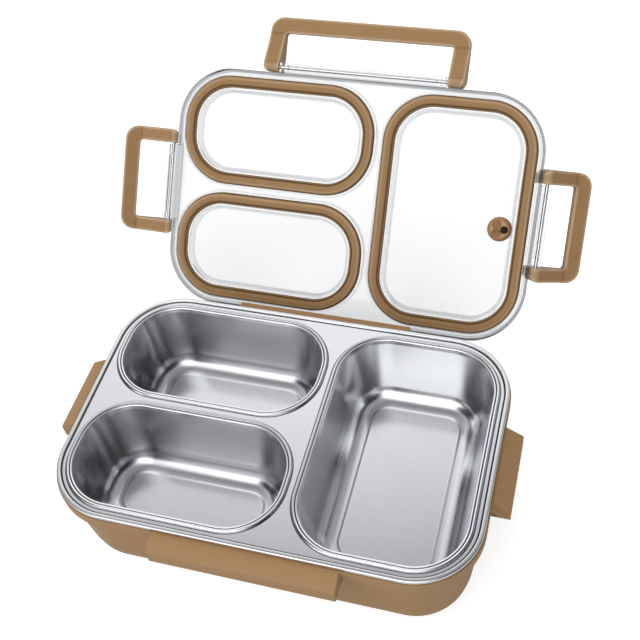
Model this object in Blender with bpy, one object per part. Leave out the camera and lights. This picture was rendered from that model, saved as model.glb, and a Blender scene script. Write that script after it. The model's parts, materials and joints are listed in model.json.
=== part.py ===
"""Three-compartment lunch box: a moulded base with a lift-out drawn steel tray, and a clear hinged lid
with three soft seal rings, a vent plug and three swinging latches. Z is up, X runs along the hinge, the
origin is the middle of the base's underside. The lid stands open and its latches are flared."""

import math

import bmesh
import bpy
from mathutils import Matrix, Vector

for found in list(bpy.data.objects):
    bpy.data.objects.remove(found, do_unlink=True)

MM = 0.001
SEG = 6  # straight pieces in each quarter-round corner

# Overall, in millimetres. RIM_Z is the flat top of the tray above the table.
RIM_Z = 59.0
TRAY_HX, TRAY_HY, TRAY_R = 110.0, 72.0, 34.5
BEAD_GAP = 4.6  # tray edge to the outer foot of the bead round each compartment
BEAD_SPACE = 2.6  # between neighbouring beads
SPLIT_X = 13.9  # middle of the web between the small compartments and the large one
CELL_R = 29.5

# Drawn profiles: (how far in from the outline, height above the tray's flat top).
CELL_TOP = ((0, 0), (0.7, 1.0), (1.4, 1.3), (2.1, 0.9), (2.7, 0.95), (3.5, 0.4), (4.3, -1.5), (9.4, -30.5), (11.2, -34.8), (14.5, -38.2), (18.6, -39.5))
CELL_UNDER = ((0, -0.7), (3.0, -0.75), (3.6, -1.7), (8.75, -30.6), (10.6, -35.2), (14.2, -38.8), (18.5, -40.1))
RIM_TOP = ((0.0, -1.6), (0.0, 0.1), (0.5, 0.75), (1.6, 0.9), (2.6, 0.5), (3.1, 0.0))
RIM_UNDER = ((0.7, -1.6), (0.7, -0.9), (3.1, -0.7))

# Base shell: (how far out from the tray's outline, height above the tray's flat top).
BASE_OUT = ((-2.6, -1.95), (0.0, -1.95), (0.7, -2.6), (0.7, -7.3), (0.1, -8.0), (-1.5, -8.4), (-1.7, -10.0), (-5.0, -44.0), (-6.2, -51.0), (-9.5, -56.7), (-14.0, -59.0))
BASE_IN = ((-3.4, -3.5), (-3.5, -9.0), (-7.4, -44.0), (-8.6, -50.4), (-11.2, -54.9), (-14.6, -56.6))

# Ledges that the latches hook under.
FRONT_LEDGE_HALF, FRONT_LEDGE_OUT = 48.3, 9.5
SIDE_LEDGE_HALF, SIDE_LEDGE_OUT = 22.6, 10.0
LEDGE_TOP, LEDGE_EDGE, LEDGE_FOOT = -2.4, -6.6, -15.3
WALL_MIDDLE = -2.7  # a line inside the thickness of the shell's wall

# Rear hinge.
HINGE_Y, HINGE_Z = 75.0, -18.0
HINGE_BLOCK_HALF = 50.0
PIN_R, PIN_BORE, PIN_HALF = 1.5, 1.6, 58.0
CLIP_IN, CLIP_OUT = 76.3, 81.8  # inner and outer face of the yoke's plate, clear of the flange
LID_OPEN_DEG = 131.0

# Lid.
LID_IN = 1.9  # lid outline inside the tray's outline
LID_FOOT, LID_TOP, LID_PLATE, LID_WALL = 1.6, 9.5, 7.5, 1.5
SEAL_OUT, SEAL_INN, SEAL_FACE, SEAL_BACK = 1.2, 8.2, 1.75, 6.9
CHANNEL_FOOT, CHANNEL_ROOF = 2.6, 7.1
LUG_OUT = 5.9
PIVOT_OUT, PIVOT_Z = 3.2, 4.2
ROD_R, ROD_BORE = 1.1, 1.2

# Latches: half length, half window; the plate stands off from the pivot and reaches down past the ledge.
FRONT_LATCH = (58.8, 49.3)
SIDE_LATCH = (31.5, 23.4)
PLATE_IN, PLATE_OUT = 6.6, 12.1
PLATE_UP, BAR_TOP, BAR_FOOT = 3.5, -20.0, -29.0
EYE_R, NECK_TOP = 3.0, 0.9
FLARE_DEG = {"front": 90.0, "right": 113.0, "left": 65.0}  # how far each latch stands from its shut place

# Vent plug.
VENT_X, VENT_Y, VENT_HEAD_R, VENT_STEM_R, VENT_HOLE_R = 88.4, 4.5, 7.0, 3.3, 3.6


def material(name, colour, rough, metal=0.0, clear=0.0):
    made = bpy.data.materials.new(name)
    made.use_nodes = True
    shader = made.node_tree.nodes["Principled BSDF"]
    shader.inputs["Base Color"].default_value = (*colour, 1.0)
    shader.inputs["Roughness"].default_value = rough
    shader.inputs["Metallic"].default_value = metal
    shader.inputs["Transmission Weight"].default_value = clear
    shader.inputs["Alpha"].default_value = 1.0 - 0.65 * clear
    return made


TAN = (0.365, 0.222, 0.108)
BASE_MAT = material("base_plastic", TAN, 0.45)
LATCH_MAT = material("latch_plastic", (0.375, 0.230, 0.113), 0.42)
SEAL_MAT = material("seal_silicone", (0.370, 0.216, 0.100), 0.6)
VENT_MAT = material("vent_silicone", (0.345, 0.198, 0.090), 0.58)
STEEL_MAT = material("brushed_steel", (0.62, 0.63, 0.65), 0.28, metal=1.0)
PIN_MAT = material("pin_steel", (0.58, 0.58, 0.60), 0.3, metal=1.0)
CLEAR_MAT = material("clear_plastic", (0.93, 0.95, 0.96), 0.06, clear=1.0)


def outline(hx, hy, radius, cx, cy, z, grow):
    """A rounded rectangle as points running anticlockwise, grown outward by grow."""
    radius = max(radius + grow, 0.5)
    hx, hy = hx + grow, hy + grow
    points = []
    for quarter, (sx, sy) in enumerate(((1, 1), (-1, 1), (-1, -1), (1, -1))):
        for step in range(SEG + 1):
            turn = math.pi / 2 * (quarter + step / SEG)
            points.append(Vector((cx + sx * (hx - radius) + radius * math.cos(turn), cy + sy * (hy - radius) + radius * math.sin(turn), z)))
    return points


def add_ring(bm, points):
    return [bm.verts.new(p) for p in points]


def bridge(bm, rings):
    for low, high in zip(rings, rings[1:]):
        for i in range(len(low)):
            j = (i + 1) % len(low)
            bm.faces.new((low[i], low[j], high[j], high[i]))


def fill_between(bm, rings):
    """Flat face between an outer ring and the rings inside it."""
    edges = []
    for ring in rings:
        for i in range(len(ring)):
            a, b = ring[i], ring[(i + 1) % len(ring)]
            edges.append(bm.edges.get((a, b)) or bm.edges.new((a, b)))
    bmesh.ops.triangle_fill(bm, use_beauty=True, use_dissolve=False, edges=edges)


def mesh_from(bm, name):
    bmesh.ops.recalc_face_normals(bm, faces=bm.faces[:])
    mesh = bpy.data.meshes.new(name)
    bm.to_mesh(mesh)
    bm.free()
    return mesh


def new_object(name, mesh):
    made = bpy.data.objects.new(name, mesh)
    bpy.context.scene.collection.objects.link(made)
    return made


def cells():
    """The three compartments: half sizes and centre of each bead's outer foot."""
    left, right = -TRAY_HX + BEAD_GAP, TRAY_HX - BEAD_GAP
    top = TRAY_HY - BEAD_GAP
    a, b = SPLIT_X - BEAD_SPACE / 2, SPLIT_X + BEAD_SPACE / 2
    small_hx, small_cx = (a - left) / 2, (a + left) / 2
    small_hy = (top - BEAD_SPACE / 2) / 2
    small_cy = BEAD_SPACE / 2 + small_hy
    return {
        "large": ((right - b) / 2, top, CELL_R, (right + b) / 2, 0.0),
        "rear": (small_hx, small_hy, CELL_R, small_cx, small_cy),
        "front": (small_hx, small_hy, CELL_R, small_cx, -small_cy),
    }


def combine(base_mesh, tools, name):
    """Joins or cuts closed meshes at the origin and returns the one that results."""
    host = new_object(name + "_host", base_mesh)
    helpers = []
    for tool, operation in tools:
        helper = new_object(name + "_tool", tool)
        helpers.append(helper)
        step = host.modifiers.new("step", "BOOLEAN")
        step.operation, step.solver, step.object = operation, "EXACT", helper
    bpy.context.view_layer.update()
    graph = bpy.context.evaluated_depsgraph_get()
    result = bpy.data.meshes.new_from_object(host.evaluated_get(graph))
    for obj in [host, *helpers]:
        bpy.data.objects.remove(obj, do_unlink=True)
    result.name = name
    return result


def prism(points, axis, low, high):
    """A flat outline of (p, q) points pulled along an axis. On X the points are (y, z), on Y they are (x, z)."""
    bm = bmesh.new()

    def place(p, q, t):
        return Vector((t, p, q)) if axis == "X" else Vector((p, t, q))

    ends = [[bm.verts.new(place(p, q, t)) for p, q in points] for t in (low, high)]
    bridge(bm, ends)
    bm.faces.new(ends[0])
    bm.faces.new(ends[1])
    return mesh_from(bm, "prism")


def rod(radius, low, high, y=0.0, z=0.0, sides=16):
    ring = [(y + radius * math.cos(2 * math.pi * i / sides), z + radius * math.sin(2 * math.pi * i / sides)) for i in range(sides)]
    return prism(ring, "X", low, high)


def turned(mesh, about_z):
    mesh.transform(Matrix.Rotation(about_z, 4, "Z"))
    return mesh


def arc(cx, cy, radius, start, end, steps):
    return [(cx + radius * math.cos(math.radians(start + (end - start) * i / steps)), cy + radius * math.sin(math.radians(start + (end - start) * i / steps))) for i in range(steps + 1)]


def finish(name, mesh, mat, origin=(0, 0, 0), parent=None, turn=None, smooth=True):
    """Places a mesh drawn in millimetres about the world origin so that its own origin is at the given point."""
    mesh.transform(Matrix.Translation(-Vector(origin)))
    mesh.transform(Matrix.Scale(MM, 4))
    mesh.materials.clear()
    mesh.materials.append(mat)
    made = new_object(name, mesh)
    for face in mesh.polygons:
        face.use_smooth = False
    made.location = Vector(origin) * MM
    if parent is not None:
        made.parent = parent
    if turn is not None:
        made.rotation_euler = turn
    return made


def up(z):
    return RIM_Z + z


# ---------------------------------------------------------------- tray
def build_tray():
    bm = bmesh.new()
    top, under = [], []

    def edge_ring(inset, z):
        return add_ring(bm, outline(TRAY_HX, TRAY_HY, TRAY_R, 0, 0, up(z), -inset))

    top_rim = [edge_ring(d, z) for d, z in RIM_TOP]
    under_rim = [edge_ring(d, z) for d, z in RIM_UNDER]
    bridge(bm, top_rim)
    bridge(bm, under_rim)
    bridge(bm, [top_rim[0], under_rim[0]])
    for hx, hy, r, cx, cy in cells().values():
        for profile, kept in ((CELL_TOP, top), (CELL_UNDER, under)):
            rings = [add_ring(bm, outline(hx, hy, r, cx, cy, up(z), -d)) for d, z in profile]
            bridge(bm, rings)
            bm.faces.new(rings[-1])
            kept.append(rings[0])
    fill_between(bm, [top_rim[-1], *top])
    fill_between(bm, [under_rim[-1], *under])
    return mesh_from(bm, "tray")


# ---------------------------------------------------------------- base shell
def ledge_profile(wall, reach):
    """Side view of a latch ledge: (distance out, height), from inside the wall to its outer face."""
    return [(wall + WALL_MIDDLE, up(LEDGE_FOOT)), (wall + reach - 0.8, up(LEDGE_FOOT)), (wall + reach, up(LEDGE_FOOT + 0.8)), (wall + reach, up(LEDGE_EDGE)), (wall + 3.0, up(LEDGE_TOP)), (wall + WALL_MIDDLE, up(LEDGE_TOP))]


def build_base():
    bm = bmesh.new()
    outer = [add_ring(bm, outline(TRAY_HX, TRAY_HY, TRAY_R, 0, 0, up(z), o)) for o, z in BASE_OUT]
    inner = [add_ring(bm, outline(TRAY_HX, TRAY_HY, TRAY_R, 0, 0, up(z), o)) for o, z in BASE_IN]
    bridge(bm, outer)
    bridge(bm, [outer[0], *inner])
    bm.faces.new(outer[-1])
    bm.faces.new(inner[-1])
    shell = mesh_from(bm, "base_shell")
    front = turned(prism([(-o, z) for o, z in ledge_profile(TRAY_HY, FRONT_LEDGE_OUT)], "X", -FRONT_LEDGE_HALF, FRONT_LEDGE_HALF), 0.0)
    right = turned(prism([(-o, z) for o, z in ledge_profile(TRAY_HX, SIDE_LEDGE_OUT)], "X", -SIDE_LEDGE_HALF, SIDE_LEDGE_HALF), math.pi / 2)
    left = turned(prism([(-o, z) for o, z in ledge_profile(TRAY_HX, SIDE_LEDGE_OUT)], "X", -SIDE_LEDGE_HALF, SIDE_LEDGE_HALF), -math.pi / 2)
    back = HINGE_Y + 3.6
    block = prism([(TRAY_HY + WALL_MIDDLE - 0.9, up(HINGE_Z - 3.6)), *arc(HINGE_Y, up(HINGE_Z), 3.6, -90, 0, 4), (back, up(-4.6)), (back - 1.4, up(-3.2)), (TRAY_HY + WALL_MIDDLE - 0.9, up(-3.2))], "X", -HINGE_BLOCK_HALF, HINGE_BLOCK_HALF)
    bore = rod(PIN_BORE, -HINGE_BLOCK_HALF - 5, HINGE_BLOCK_HALF + 5, HINGE_Y, up(HINGE_Z))
    return combine(shell, [(front, "UNION"), (right, "UNION"), (left, "UNION"), (block, "UNION"), (bore, "DIFFERENCE")], "base_shell")


# ---------------------------------------------------------------- lid, drawn shut
LID_HX, LID_HY, LID_R = TRAY_HX - LID_IN, TRAY_HY - LID_IN, TRAY_R - LID_IN


def lug(edge, half):
    y0, y1 = edge - 0.4, edge + LUG_OUT
    low, high = up(LID_FOOT), up(PIVOT_Z + 2.6)
    return prism([(-y0, low), (-y0, high), (-(y1 - 1.6), high), (-y1, high - 1.6), (-y1, low + 1.2), (-(y1 - 1.2), low)], "X", -half, half)


def build_lid():
    bm = bmesh.new()

    def lid_ring(grow, z):
        return add_ring(bm, outline(LID_HX, LID_HY, LID_R, 0, 0, up(z), grow))

    outside = [lid_ring(0, LID_FOOT), lid_ring(0, LID_TOP - 1.2), lid_ring(-1.2, LID_TOP)]
    inside = [lid_ring(-LID_WALL, LID_FOOT), lid_ring(-LID_WALL, LID_PLATE)]
    bridge(bm, outside)
    bridge(bm, inside)
    bridge(bm, [outside[0], inside[0]])
    bm.faces.new(outside[-1])
    islands = []
    wall_out, wall_inn = SEAL_OUT - 1.4, SEAL_INN + 1.4
    steps = ((wall_out, LID_PLATE), (wall_out, CHANNEL_FOOT), (SEAL_OUT - 0.2, CHANNEL_FOOT), (SEAL_OUT - 0.2, CHANNEL_ROOF), (SEAL_INN + 0.2, CHANNEL_ROOF), (SEAL_INN + 0.2, CHANNEL_FOOT), (wall_inn, CHANNEL_FOOT), (wall_inn, LID_PLATE))
    for hx, hy, r, cx, cy in cells().values():
        rings = [add_ring(bm, outline(hx, hy, r, cx, cy, up(z), -d)) for d, z in steps]
        bridge(bm, rings)
        bm.faces.new(rings[-1])
        islands.append(rings[0])
    fill_between(bm, [inside[-1], *islands])
    plate = mesh_from(bm, "lid_shell")
    tools = []
    pivot_y = LID_HY + PIVOT_OUT
    pivot_x = LID_HX + PIVOT_OUT
    for turn, edge, half, pivot in ((0.0, LID_HY, FRONT_LATCH[1] - 0.5, pivot_y), (math.pi, LID_HY, FRONT_LATCH[1] - 0.5, pivot_y), (math.pi / 2, LID_HX, SIDE_LATCH[1] - 0.5, pivot_x), (-math.pi / 2, LID_HX, SIDE_LATCH[1] - 0.5, pivot_x)):
        tools.append((turned(lug(edge, half), turn), "UNION"))
        tools.append((turned(rod(ROD_BORE, -half - 5, half + 5, -pivot, up(PIVOT_Z), 12), turn), "DIFFERENCE"))
    hole = rod(VENT_HOLE_R, up(LID_PLATE - 2), up(LID_TOP + 2), 0, 0, 24)
    hole.transform(Matrix.Rotation(-math.pi / 2, 4, "Y"))
    hole.transform(Matrix.Translation((VENT_X, VENT_Y, 0)))
    tools.append((hole, "DIFFERENCE"))
    return combine(plate, tools, "lid_shell")


def build_seal(cell):
    hx, hy, r, cx, cy = cell
    bm = bmesh.new()
    steps = ((SEAL_OUT, SEAL_BACK), (SEAL_OUT, SEAL_FACE + 0.85), (SEAL_OUT + 0.8, SEAL_FACE), (SEAL_INN - 0.8, SEAL_FACE), (SEAL_INN, SEAL_FACE + 0.85), (SEAL_INN, SEAL_BACK))
    rings = [add_ring(bm, outline(hx, hy, r, cx, cy, up(z), -d)) for d, z in steps]
    bridge(bm, [*rings, rings[0]])
    return mesh_from(bm, "seal")


def build_vent():
    """Domed head under the lid, with a stem up through the plate."""
    sides = 20
    roof = LID_PLATE - 0.2
    steps = ((VENT_HEAD_R - 0.6, roof), (VENT_HEAD_R, roof - 0.8), (VENT_HEAD_R - 0.3, roof - 2.4), (VENT_HEAD_R - 1.7, roof - 4.0), (VENT_HEAD_R - 4.2, roof - 5.0))
    stem = ((VENT_STEM_R, roof), (VENT_STEM_R, LID_TOP + 1.0), (VENT_STEM_R - 0.6, LID_TOP + 1.6))
    bm = bmesh.new()

    def circle(radius, z):
        return add_ring(bm, [Vector((VENT_X + radius * math.cos(2 * math.pi * i / sides), VENT_Y + radius * math.sin(2 * math.pi * i / sides), up(z))) for i in range(sides)])

    head = [circle(r, z) for r, z in steps]
    neck = [circle(r, z) for r, z in stem]
    bridge(bm, [*reversed(head), *neck])
    bm.faces.new(head[-1])
    bm.faces.new(neck[-1])
    return mesh_from(bm, "vent_plug")


# ---------------------------------------------------------------- latches, drawn hanging shut with the pivot on X
def arm_profile():
    """Side view of an arm: (outward, height) from the eye round the rod to the plate. The dip above the neck
    clears the lid's corner when the latch is thrown right back."""
    eye = arc(0, 0, EYE_R, 235, 60, 8)
    return [*eye, (3.6, NECK_TOP), (6.4, NECK_TOP), (8.9, PLATE_UP), (PLATE_OUT - 1.2, PLATE_UP), (PLATE_OUT, PLATE_UP - 1.2), (PLATE_OUT, BAR_TOP - 0.5), (PLATE_IN, BAR_TOP - 0.5)]


def build_latch(half, window):
    corner, end = 8.0, 5.0
    plate = [*arc(-half + corner, BAR_FOOT + corner, corner, 180, 270, 5), *arc(half - corner, BAR_FOOT + corner, corner, 270, 360, 5), (half, BAR_TOP + 1.0), (window, BAR_TOP + 1.0), (window, BAR_TOP), (-window, BAR_TOP), (-window, BAR_TOP + 1.0), (-half, BAR_TOP + 1.0)]
    bar = prism(plate, "Y", -PLATE_OUT, -PLATE_IN)
    side = [(-o, z) for o, z in arm_profile()]
    right = prism(side, "X", window, half)
    left = prism(side, "X", -half, -window)
    rounded = [*plate[:12], *arc(half - end, PLATE_UP - end, end, 0, 90, 5), *arc(-half + end, PLATE_UP - end, end, 90, 180, 5)]
    bore = rod(ROD_BORE, -half + 1.0, half - 1.0, 0, 0, 12)
    return combine(bar, [(right, "UNION"), (left, "UNION"), (prism(rounded, "Y", -PLATE_OUT - 1, EYE_R + 1), "INTERSECT"), (bore, "DIFFERENCE")], "latch")


def build_rear_clip():
    """Yoke between the lid's rear lug and the hinge pin, drawn in place with the lid shut."""
    inner, outer = FRONT_LATCH[1] + 1.7, FRONT_LATCH[0] + 0.2
    rod_y, rod_z = LID_HY + PIVOT_OUT, up(PIVOT_Z)
    face_in, face_out = CLIP_IN, CLIP_OUT
    top = up(7.0)
    side = [*arc(HINGE_Y, up(HINGE_Z), 3.8, 180, 360, 8), (face_out + 0.6, up(HINGE_Z + 6)), (face_out, up(HINGE_Z + 9)), (face_out, top - 1.4), (face_out - 1.4, top), (rod_y, rod_z + EYE_R), *arc(rod_y, rod_z, EYE_R, 90, 270, 8)[1:], (face_in - 1.0, rod_z - EYE_R), (face_in, rod_z - EYE_R - 1.0), (face_in, up(HINGE_Z + 9)), (HINGE_Y - 3.4, up(HINGE_Z + 6))]
    arms = [prism(side, "X", low, high) for low, high in ((inner, outer), (-outer, -inner))]
    spine = prism([(face_in, up(-1.2)), (face_out, up(-1.2)), (face_out, top - 1.4), (face_out - 1.4, top), (face_in, top)], "X", -inner - 2, inner + 2)
    pin = rod(PIN_BORE, -PIN_HALF - 0.3, PIN_HALF + 0.3, HINGE_Y, up(HINGE_Z))
    bore = rod(ROD_BORE, -FRONT_LATCH[0] + 1.0, FRONT_LATCH[0] - 1.0, rod_y, rod_z, 12)
    return combine(spine, [(arms[0], "UNION"), (arms[1], "UNION"), (pin, "DIFFERENCE"), (bore, "DIFFERENCE")], "rear_clip")


CELLS = cells()
finish("base_shell", build_base(), BASE_MAT)
finish("hinge_pin", rod(PIN_R, -PIN_HALF, PIN_HALF, HINGE_Y, up(HINGE_Z)), PIN_MAT)
finish("tray", build_tray(), STEEL_MAT)

# The lid and all it carries are drawn shut, then turned back together about the hinge pin.
HINGE = (0.0, HINGE_Y, up(HINGE_Z))
lid = finish("lid_shell", build_lid(), CLEAR_MAT, HINGE, turn=(math.radians(-LID_OPEN_DEG), 0, 0))


def on_lid(name, mesh, mat, origin=HINGE, turn=None):
    made = finish(name, mesh, mat, origin, parent=lid, turn=turn)
    made.location = (Vector(origin) - Vector(HINGE)) * MM
    return made


for key in ("large", "rear", "front"):
    on_lid("seal_" + key, build_seal(CELLS[key]), SEAL_MAT)
on_lid("vent_plug", build_vent(), VENT_MAT, (VENT_X, VENT_Y, up(LID_PLATE)))
on_lid("rear_clip", build_rear_clip(), LATCH_MAT)
on_lid("rod_rear", rod(ROD_R, -FRONT_LATCH[0] + 1.3, FRONT_LATCH[0] - 1.3, LID_HY + PIVOT_OUT, up(PIVOT_Z), 12), PIN_MAT)

for key, (half, window), edge, about in (("front", FRONT_LATCH, LID_HY, 0.0), ("right", SIDE_LATCH, LID_HX, math.pi / 2), ("left", SIDE_LATCH, LID_HX, -math.pi / 2)):
    away = Vector((math.sin(about), -math.cos(about), 0)) * (edge + PIVOT_OUT)
    pivot = Vector((away.x, away.y, up(PIVOT_Z)))
    flare = (Matrix.Rotation(about, 3, "Z") @ Matrix.Rotation(math.radians(-FLARE_DEG[key]), 3, "X")).to_euler()
    latch = build_latch(half, window)
    latch.transform(Matrix.Translation(pivot))
    on_lid("latch_" + key, latch, LATCH_MAT, tuple(pivot), turn=flare)
    pin = rod(ROD_R, -half + 1.3, half - 1.3, 0, 0, 12)
    pin.transform(Matrix.Translation(pivot))
    on_lid("rod_" + key, pin, PIN_MAT, tuple(pivot), turn=(0, 0, about))
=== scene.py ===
"""Looks of the compartment lunch box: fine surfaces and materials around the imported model.
Shapes are drawn in millimetres in the shut position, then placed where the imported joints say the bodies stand."""

import json
import math

import bmesh
import bpy
import numpy as np
from mathutils import Matrix, Vector

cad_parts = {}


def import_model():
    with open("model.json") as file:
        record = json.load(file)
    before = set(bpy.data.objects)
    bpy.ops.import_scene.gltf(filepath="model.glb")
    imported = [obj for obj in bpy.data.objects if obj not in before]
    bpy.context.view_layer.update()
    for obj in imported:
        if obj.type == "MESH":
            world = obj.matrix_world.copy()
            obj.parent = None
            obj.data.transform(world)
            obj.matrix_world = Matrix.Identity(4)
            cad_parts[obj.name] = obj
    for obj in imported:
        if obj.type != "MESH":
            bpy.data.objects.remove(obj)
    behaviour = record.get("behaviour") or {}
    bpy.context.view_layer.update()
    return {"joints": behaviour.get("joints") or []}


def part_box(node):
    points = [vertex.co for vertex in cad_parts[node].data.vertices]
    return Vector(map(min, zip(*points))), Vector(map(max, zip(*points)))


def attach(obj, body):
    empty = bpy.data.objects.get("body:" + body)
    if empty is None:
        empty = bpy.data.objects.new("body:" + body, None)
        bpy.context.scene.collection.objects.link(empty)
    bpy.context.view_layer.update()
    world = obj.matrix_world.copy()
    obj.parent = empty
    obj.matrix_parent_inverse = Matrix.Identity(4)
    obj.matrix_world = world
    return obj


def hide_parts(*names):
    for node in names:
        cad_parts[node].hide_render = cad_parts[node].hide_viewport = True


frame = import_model()

MM = 0.001
JOINTS = {j["name"]: j for j in frame["joints"]}

# ------------------------------------------------------------------ sizes, in millimetres, heights above the rim
TABLE_TO_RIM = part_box("tray")[1].z / MM - 1.3
TX, TY, TR = 110.0, 72.0, 34.5
BEAD_GAP, BEAD_SPACE, SPLIT_X, CELL_R = 4.6, 2.6, 13.9, 29.5
LX, LY, LR = TX - 1.9, TY - 1.9, TR - 1.9
PIVOT_OUT, PIVOT_Z = 3.2, 4.2
FRONT, SIDE = (58.8, 49.3), (31.5, 23.4)  # half length and half window of a latch
HINGE = (75.0, -18.0)
VENT = (88.4, 4.5)


def body_turn(joint):
    """How far a hinge stands from its shut limit, in degrees."""
    return -JOINTS[joint]["range_deg"][0]


def lid_place():
    """From the shut lid's millimetres to the open lid in the row frame."""
    pin = Vector(JOINTS["lid_hinge"]["pos_m"])
    turn = Matrix.Rotation(math.radians(body_turn("lid_hinge")), 4, Vector(JOINTS["lid_hinge"]["axis"]))
    shut = Matrix.Translation((0, 0, TABLE_TO_RIM * MM)) @ Matrix.Scale(MM, 4)
    return Matrix.Translation(pin) @ turn @ Matrix.Translation(-pin) @ shut


LID = lid_place()
BASE = Matrix.Translation((0, 0, TABLE_TO_RIM * MM)) @ Matrix.Scale(MM, 4)


# ------------------------------------------------------------------ mesh tools
def loop(hx, hy, r, cx=0.0, cy=0.0, k=20, marks=None):
    """Stations round a rounded rectangle, anticlockwise: (inner corner point, outward normal, side, place along it)."""
    marks = marks or {}
    out = []
    ex, ey = hx - r, hy - r
    for quarter, (sx, sy, side) in enumerate(((1, 1, "rear"), (-1, 1, "left"), (-1, -1, "front"), (1, -1, "right"))):
        for i in range(k + 1):
            a = math.pi / 2 * (quarter + i / k)
            out.append((cx + sx * ex, cy + sy * ey, math.cos(a), math.sin(a), "corner", 0.0))
        nx, ny = round(math.cos(math.pi / 2 * (quarter + 1))), round(math.sin(math.pi / 2 * (quarter + 1)))
        along = sorted(marks.get(side, ()))
        if side in ("rear", "left"):
            along = along[::-1]
        for t in along:
            if side in ("rear", "front"):
                out.append((cx + t, cy + ny * ey, nx, ny, side, t))
            else:
                out.append((cx + nx * ex, cy + t, nx, ny, side, t))
    return out


def fillets(points, k=5):
    """Each corner (across, height, radius) becomes k points of a round. The two ends stay as they are."""
    out = [np.array(points[0][:2], float)]
    for before, here, after in zip(points, points[1:], points[2:]):
        p = np.array(here[:2], float)
        a, b = np.array(before[:2], float) - p, np.array(after[:2], float) - p
        la, lb = np.linalg.norm(a), np.linalg.norm(b)
        a, b = a / la, b / lb
        half = math.acos(max(-1.0, min(1.0, float(a @ b)))) / 2
        t = here[2] / max(math.tan(half), 1e-3)
        t = max(min(t, 0.45 * la, 0.45 * lb), min(0.02, 0.2 * la, 0.2 * lb))
        for i in range(k):
            u = i / (k - 1)
            out.append(p + a * t * (1 - u) ** 2 + b * t * u**2)
    out.append(np.array(points[-1][:2], float))
    return np.array(out)


def turn_of(before, corner, after, radius, n):
    """A true round between two straight lines, as n + 1 points."""
    p = np.array(corner, float)
    a, b = np.array(before, float) - p, np.array(after, float) - p
    a, b = a / np.linalg.norm(a), b / np.linalg.norm(b)
    half = math.acos(float(a @ b)) / 2
    middle = p + (a + b) / np.linalg.norm(a + b) * radius / math.sin(half)
    first = p + a * radius / math.tan(half) - middle
    last = p + b * radius / math.tan(half) - middle
    sweep = math.atan2(first[0] * last[1] - first[1] * last[0], float(first @ last))
    out = []
    for i in range(n + 1):
        c, s = math.cos(sweep * i / n), math.sin(sweep * i / n)
        out.append(middle + np.array([c * first[0] - s * first[1], s * first[0] + c * first[1]]))
    return np.array(out)


def smooth01(x):
    x = max(0.0, min(1.0, x))
    return x * x * (3 - 2 * x)


def rings_of(stations, radius, section):
    """The rings of a swept wall: section(side, along) gives its (outward, height) points at each station."""
    rows = []
    for bx, by, nx, ny, side, t in stations:
        s = section(side, t)
        reach = radius + s[:, 0]
        rows.append(np.stack([bx + nx * reach, by + ny * reach, s[:, 1]], 1))
    return np.array(rows).transpose(1, 0, 2)  # ring, station, xyz


def add_rings(bm, rings, painted_light=None):
    """Adds the rings' points. The optional list gives each ring its (crease, edge) marks: the strength of painted shade
    and of painted highlight that the materials read.
    """
    crease = bm.verts.layers.float.get("crease") or bm.verts.layers.float.new("crease")
    edge = bm.verts.layers.float.get("edge") or bm.verts.layers.float.new("edge")
    rows = []
    for i, ring in enumerate(rings):
        row = [bm.verts.new(Vector(p)) for p in ring]
        if painted_light is not None:
            for v in row:
                v[crease], v[edge] = painted_light[i]
        rows.append(row)
    return rows


def painted_shade_and_highlight_near(profile, creases=(), edges=()):
    """(crease, edge) of every profile point, from how near it is to the marked places (across, height, reach,
    strength): painted shade near the crease places, painted highlight near the edge places.
    """

    def most(p, marks):
        return max([m[3] * math.exp(-((p[0] - m[0]) ** 2 + (p[1] - m[1]) ** 2) / m[2] ** 2) for m in marks], default=0.0)

    return [(most(p, creases), most(p, edges)) for p in profile]


def painted_shade_and_highlight_at_corners(count, k, creases=(), edges=()):
    """The same painted shade and painted highlight marks for a profile of fillets, by the corner's place in the list.
    """
    out = [(0.0, 0.0)] * (2 + (count - 2) * k)
    for which, marks in ((0, creases), (1, edges)):
        for corner, strength in marks:
            for i in range(1 + (corner - 1) * k, 1 + corner * k):
                out[i] = (strength, out[i][1]) if which == 0 else (out[i][0], strength)
    return out


def dense(profile, step):
    """Adds points on the long straight parts of a profile."""
    out = [profile[0]]
    for a, b in zip(profile, profile[1:]):
        n = max(1, math.ceil(float(np.linalg.norm(b - a)) / step))
        out += [a + (b - a) * i / n for i in range(1, n + 1)]
    return np.array(out)


def mark_edges(mesh, gain):
    """Marks a remeshed piece where it is rounded outward (edge, for painted highlight) and hollow (crease, for painted
    shade).
    """
    count = len(mesh.vertices)
    co, no = np.zeros(count * 3), np.zeros(count * 3)
    mesh.vertices.foreach_get("co", co)
    mesh.vertices.foreach_get("normal", no)
    pairs = np.zeros(len(mesh.edges) * 2, int)
    mesh.edges.foreach_get("vertices", pairs)
    co, no, pairs = co.reshape(-1, 3), no.reshape(-1, 3), pairs.reshape(-1, 2)
    near = np.zeros(count)
    np.add.at(near, pairs.ravel(), 1)

    def average(values):
        total = np.zeros((count, values.shape[1]))
        np.add.at(total, pairs[:, 0], values[pairs[:, 1]])
        np.add.at(total, pairs[:, 1], values[pairs[:, 0]])
        return total / np.maximum(near, 1)[:, None]

    length = float(np.linalg.norm(co[pairs[:, 0]] - co[pairs[:, 1]], axis=1).mean())
    bend = ((co - average(co)) * no).sum(1)[:, None] / length**2
    for _ in range(6):
        bend = 0.4 * bend + 0.6 * average(bend)
    bend = bend[:, 0] * gain
    # edge becomes painted highlight and crease becomes painted shade in the materials
    for name, values in (("edge", bend), ("crease", -bend)):
        mesh.attributes.new(name, "FLOAT", "POINT").data.foreach_set("value", np.clip(values - 0.15, 0.0, 1.0).astype(np.float32))


def bridge(bm, rows):
    made = []
    for low, high in zip(rows, rows[1:]):
        for i in range(len(low)):
            j = (i + 1) % len(low)
            made.append(bm.faces.new((low[i], low[j], high[j], high[i])))
    return made


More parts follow.
